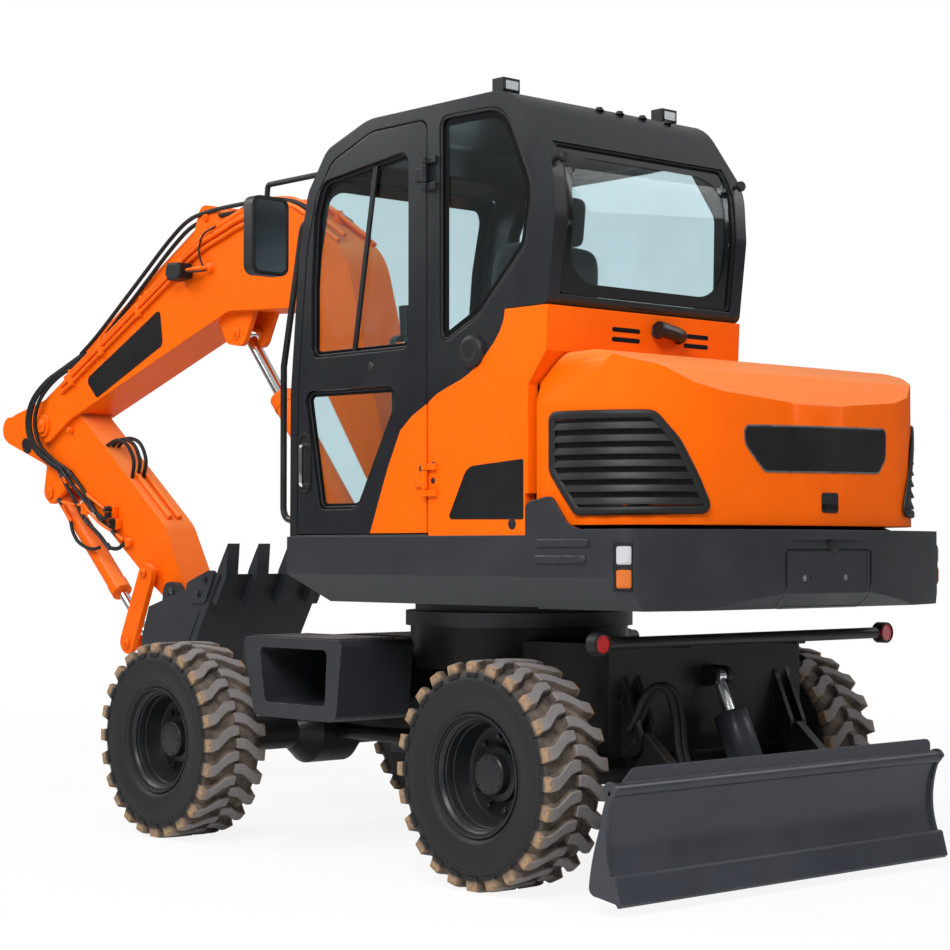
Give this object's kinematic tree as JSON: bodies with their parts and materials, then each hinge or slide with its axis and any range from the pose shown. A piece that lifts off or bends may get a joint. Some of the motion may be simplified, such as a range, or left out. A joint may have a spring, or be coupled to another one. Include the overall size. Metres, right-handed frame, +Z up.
{
  "type": "wheeled excavator",
  "caption": "Wheeled excavator with an enclosed cab, swing boom, arm and bucket, rear dozer blade, steered front axle and lifting hood.",
  "frame": {"origin": "middle of the bounding box, on the ground under the wheels", "axes": "+X forward, +Y to the left, +Z up"},
  "size_m": [6.2036, 1.875, 3.0229],
  "materials": {
    "tyre": "matt rubber, dusty on the lugs",
    "rod_chrome": "polished hard chrome",
    "glass": "tinted, polished",
    "reflector_red": "moulded red lens",
    "lamp_lens": "clear and amber lens",
    "orange_paint": "gloss orange paint",
    "charcoal_paint": "satin charcoal paint",
    "cab_paint": "satin near-black paint",
    "seat_cover": "dark woven cover",
    "black_plastic": "moulded black plastic",
    "bare_steel": "dark worn steel",
    "engine_iron": "rough casting",
    "black_paint": "semi-gloss black chassis paint"
  },
  "bodies": {
    "chassis": {"chassis_frame": "black_paint", "slewing_ring": "bare_steel", "step_boxes": "charcoal_paint", "front_axle": "black_paint", "rear_axle": "black_paint", "drive_line": "black_paint", "tail_lamp_bar": "black_paint", "tail_reflectors": "reflector_red"},
    "knuckle_left": {"knuckle_left": "black_paint"},
    "knuckle_right": {"knuckle_right": "black_paint"},
    "wheel_front_left": {"wheel_front_left": "black_paint", "tyre_front_left": "tyre"},
    "wheel_front_right": {"wheel_front_right": "black_paint", "tyre_front_right": "tyre"},
    "wheel_rear_left": {"wheel_rear_left": "black_paint", "tyre_rear_left": "tyre"},
    "wheel_rear_right": {"wheel_rear_right": "black_paint", "tyre_rear_right": "tyre"},
    "blade": {"blade": "charcoal_paint"},
    "blade_barrel": {"blade_barrel": "charcoal_paint"},
    "blade_rod": {"blade_rod": "rod_chrome"},
    "upper": {"deck": "charcoal_paint", "counterweight": "charcoal_paint", "tail_lamps": "lamp_lens", "engine_block": "engine_iron", "cab_frame": "cab_paint", "cab_glass": "glass", "side_panel": "orange_paint", "exhaust": "black_paint", "right_cover": "orange_paint", "seat": "seat_cover", "controls": "black_plastic", "mirrors": "black_plastic", "handrails": "black_paint", "work_lamps": "black_plastic"},
    "hood": {"hood": "orange_paint", "hood_louvres": "black_plastic"},
    "door": {"door": "cab_paint", "door_corner": "orange_paint", "door_glass": "glass", "door_handle": "rod_chrome"},
    "swing_post": {"swing_post": "charcoal_paint"},
    "boom": {"boom": "orange_paint"},
    "boom_barrel": {"boom_barrel": "orange_paint"},
    "boom_rod": {"boom_rod": "rod_chrome"},
    "arm": {"arm": "orange_paint"},
    "arm_barrel": {"arm_barrel": "orange_paint"},
    "arm_rod": {"arm_rod": "rod_chrome"},
    "bucket": {"bucket": "charcoal_paint"},
    "bucket_barrel": {"bucket_barrel": "orange_paint"},
    "bucket_rod": {"bucket_rod": "rod_chrome"},
    "rocker": {"rocker": "orange_paint"},
    "bucket_link": {"bucket_link": "orange_paint"}
  },
  "joints": [
    {"name": "swing", "type": "hinge", "parent": "chassis", "child": "upper", "pos_m": [-1.45682, 0, 1.046], "axis": [0, 0, 1], "continuous": true},
    {"name": "steer_left", "type": "hinge", "parent": "chassis", "child": "knuckle_left", "pos_m": [-0.13182, 0.59, 0.424], "axis": [0, 0, 1], "range_deg": [-30, 30]},
    {"name": "roll_front_left", "type": "hinge", "parent": "knuckle_left", "child": "wheel_front_left", "pos_m": [-0.13182, 0.785, 0.424], "axis": [0, 1, 0], "continuous": true},
    {"name": "roll_rear_left", "type": "hinge", "parent": "chassis", "child": "wheel_rear_left", "pos_m": [-2.18182, 0.785, 0.424], "axis": [0, 1, 0], "continuous": true},
    {"name": "steer_right", "type": "hinge", "parent": "chassis", "child": "knuckle_right", "pos_m": [-0.13182, -0.59, 0.424], "axis": [0, 0, 1], "range_deg": [-30.5, 30.5]},
    {"name": "roll_front_right", "type": "hinge", "parent": "knuckle_right", "child": "wheel_front_right", "pos_m": [-0.13182, -0.785, 0.424], "axis": [0, 1, 0], "continuous": true},
    {"name": "roll_rear_right", "type": "hinge", "parent": "chassis", "child": "wheel_rear_right", "pos_m": [-2.18182, -0.785, 0.424], "axis": [0, 1, 0], "continuous": true},
    {"name": "blade_lift", "type": "hinge", "parent": "chassis", "child": "blade", "pos_m": [-2.55682, 0, 0.54], "axis": [0, 1, 0], "range_deg": [-15, 32]},
    {"name": "blade_barrel_turn", "type": "hinge", "parent": "blade", "child": "blade_barrel", "pos_m": [-2.75682, 0, 0.33], "axis": [0, 1, 0], "range_deg": [-14.5, 7.06]},
    {"name": "blade_rod_slide", "type": "slide", "parent": "blade_barrel", "child": "blade_rod", "axis": [0.4122, 0, 0.9111], "range_m": [-0.068, 0.0345]},
    {"name": "door_open", "type": "hinge", "parent": "upper", "child": "door", "pos_m": [-1.90682, 0.919, 1.305], "axis": [0, 0, 1], "range_deg": [0, 165]},
    {"name": "hood_open", "type": "hinge", "parent": "upper", "child": "hood", "pos_m": [-2.56682, 0, 1.944], "axis": [0, 1, 0], "range_deg": [0, 50]},
    {"name": "boom_swing", "type": "hinge", "parent": "upper", "child": "swing_post", "pos_m": [-0.55682, -0.295, 1.046], "axis": [0, 0, 1], "range_deg": [-50, 75]},
    {"name": "boom_lift", "type": "hinge", "parent": "swing_post", "child": "boom", "pos_m": [-0.35982, -0.295, 1.45], "axis": [0, -1, 0], "range_deg": [-42, 55]},
    {"name": "boom_barrel_turn", "type": "hinge", "parent": "swing_post", "child": "boom_barrel", "pos_m": [-0.17182, -0.295, 1.15], "axis": [0, -1, 0], "range_deg": [-38.37, 50.09]},
    {"name": "boom_rod_slide", "type": "slide", "parent": "boom_barrel", "child": "boom_rod", "axis": [0.6491, 0, 0.7607], "range_m": [-0.2628, 0.3426]},
    {"name": "arm_fold", "type": "hinge", "parent": "boom", "child": "arm", "pos_m": [2.59904, -0.295, 1.94514], "axis": [0, 1, 0], "range_deg": [-95, 4]},
    {"name": "arm_barrel_turn", "type": "hinge", "parent": "boom", "child": "arm_barrel", "pos_m": [1.0928, -0.295, 2.96047], "axis": [0, 1, 0], "range_deg": [-8.81, 0.85]},
    {"name": "arm_rod_slide", "type": "slide", "parent": "arm_barrel", "child": "arm_rod", "axis": [0.8851, 0, -0.4654], "range_m": [-0.5568, 0.0282]},
    {"name": "bucket_curl", "type": "hinge", "parent": "arm", "child": "bucket", "pos_m": [1.3434, -0.295, 1.0211], "axis": [0, 1, 0], "range_deg": [-65, 85]},
    {"name": "rocker_turn", "type": "hinge", "parent": "arm", "child": "rocker", "pos_m": [1.54299, -0.295, 1.12949], "axis": [0, 1, 0], "range_deg": [-44.7, 58.3]},
    {"name": "link_turn", "type": "hinge", "parent": "rocker", "child": "bucket_link", "pos_m": [1.69818, -0.295, 0.75327], "axis": [0, 1, 0], "range_deg": [-43, 33]},
    {"name": "bucket_barrel_turn", "type": "hinge", "parent": "arm", "child": "bucket_barrel", "pos_m": [2.59843, -0.295, 1.56973], "axis": [0, 1, 0], "range_deg": [-7, 9]},
    {"name": "bucket_rod_slide", "type": "slide", "parent": "bucket_barrel", "child": "bucket_rod", "axis": [-0.7407, 0, -0.6718], "range_m": [-0.2944, 0.3834]}
  ],
  "couplings": [
    {"joint": "steer_right", "follows": "steer_left", "ratio": 1},
    {"joint": "blade_barrel_turn", "follows": "blade_lift", "ratio": -0.43744},
    {"joint": "blade_rod_slide", "follows": "blade_lift", "m_per_rad": -0.11276},
    {"joint": "boom_barrel_turn", "follows": "boom_lift", "ratio": 0.90159},
    {"joint": "boom_rod_slide", "follows": "boom_lift", "m_per_rad": 0.35169},
    {"joint": "arm_barrel_turn", "follows": "arm_fold", "ratio": 0.0875},
    {"joint": "arm_rod_slide", "follows": "arm_fold", "m_per_rad": 0.33279},
    {"joint": "rocker_turn", "follows": "bucket_curl", "ratio": 0.68},
    {"joint": "link_turn", "follows": "bucket_curl", "ratio": -0.5},
    {"joint": "bucket_barrel_turn", "follows": "bucket_curl", "ratio": 0.1},
    {"joint": "bucket_rod_slide", "follows": "bucket_curl", "m_per_rad": 0.25509}
  ]
}
